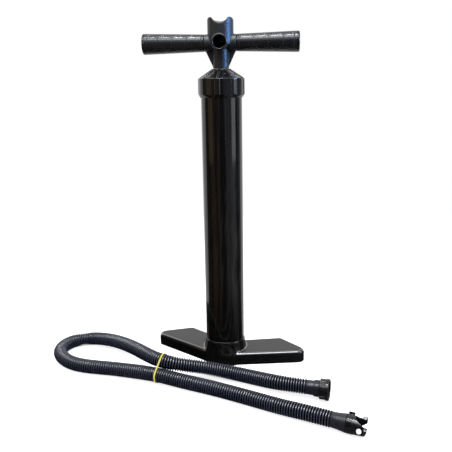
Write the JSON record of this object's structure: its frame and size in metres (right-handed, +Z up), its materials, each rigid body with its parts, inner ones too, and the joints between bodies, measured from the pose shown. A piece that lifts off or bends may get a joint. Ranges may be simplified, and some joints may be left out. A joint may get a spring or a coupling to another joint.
{
  "type": "double action hand pump",
  "caption": "Upright double action hand pump with winged foot plate, capped barrel, sliding T handle with outlet port and hose cradle, and loose ribbed hose with swivel nut and bayonet adaptor.",
  "frame": {"origin": "on the floor under the barrel's axis, at the foot valve's pad", "axes": "+Z up along the barrel and the piston's stroke, -Y towards the front where the hose lies, +X to the pump's own right wing as seen from the front"},
  "size_m": [0.5939, 0.2695, 0.6055],
  "materials": {
    "gloss_black": "glossy moulded black plastic",
    "satin_black": "satin moulded black plastic",
    "hose_navy": "satin blue-black flexible plastic",
    "seal_rubber": "matt black rubber",
    "rod_alloy": "drawn, satin",
    "plated_steel": "zinc plated",
    "white_plastic": "natural white bearing plastic",
    "band_yellow": "plain yellow rubber band"
  },
  "bodies": {
    "base": {"foot_plate": "gloss_black", "foot_valve_seat": "satin_black", "foot_valve_clip": "plated_steel", "foot_screws": "plated_steel", "barrel": "gloss_black", "barrel_gasket": "seal_rubber", "cap": "gloss_black", "cap_gasket": "seal_rubber", "rod_bush": "white_plastic", "rod_seal": "seal_rubber", "cap_valve_retainer": "satin_black", "hose": "hose_navy", "hose_pump_cuff": "satin_black", "hose_spigot": "satin_black", "nut_gasket": "seal_rubber", "hose_valve_cuff": "satin_black", "valve_adaptor": "gloss_black", "adaptor_seal": "seal_rubber", "hose_band": "band_yellow"},
    "piston": {"piston_body": "white_plastic", "piston_base": "white_plastic", "piston_seal": "seal_rubber", "piston_guide_ring": "white_plastic", "piston_screws": "plated_steel", "valve_cage": "satin_black"},
    "handle": {"piston_rod": "rod_alloy", "rod_nut": "rod_alloy", "rod_collar": "rod_alloy", "bump_stop": "seal_rubber", "handle_body": "satin_black", "rod_top_gasket": "seal_rubber", "handle_screw": "plated_steel", "left_arm": "satin_black", "right_arm": "satin_black", "left_grip": "satin_black", "right_grip": "satin_black", "left_end_cap": "gloss_black", "right_end_cap": "gloss_black"},
    "swivel_nut": {"hose_nut": "gloss_black"},
    "foot_valve": {"foot_valve_disc": "seal_rubber"},
    "cap_valve": {"cap_valve_ring": "seal_rubber"},
    "lower_valve": {"lower_valve_ring": "seal_rubber"},
    "upper_valve": {"upper_valve_ring": "seal_rubber"}
  },
  "joints": [
    {"name": "piston_stroke", "type": "slide", "parent": "base", "child": "piston", "axis": [0, 0, 1], "range_m": [0, 0.425]},
    {"name": "handle_turn", "type": "hinge", "parent": "piston", "child": "handle", "pos_m": [0, 0, 0.5655], "axis": [0, 0, 1], "continuous": true},
    {"name": "nut_spin", "type": "hinge", "parent": "base", "child": "swivel_nut", "pos_m": [0.2, -0.104, 0.0175], "axis": [1, 0, 0], "continuous": true},
    {"name": "foot_valve_lift", "type": "slide", "parent": "base", "child": "foot_valve", "axis": [0, 0, 1], "range_m": [0, 0.0015]},
    {"name": "cap_valve_lift", "type": "slide", "parent": "base", "child": "cap_valve", "axis": [0, 0, 1], "range_m": [0, 0.0015]},
    {"name": "lower_valve_lift", "type": "slide", "parent": "piston", "child": "lower_valve", "axis": [0, 0, 1], "range_m": [0, 0.0015]},
    {"name": "upper_valve_lift", "type": "slide", "parent": "piston", "child": "upper_valve", "axis": [0, 0, 1], "range_m": [0, 0.0015]}
  ]
}
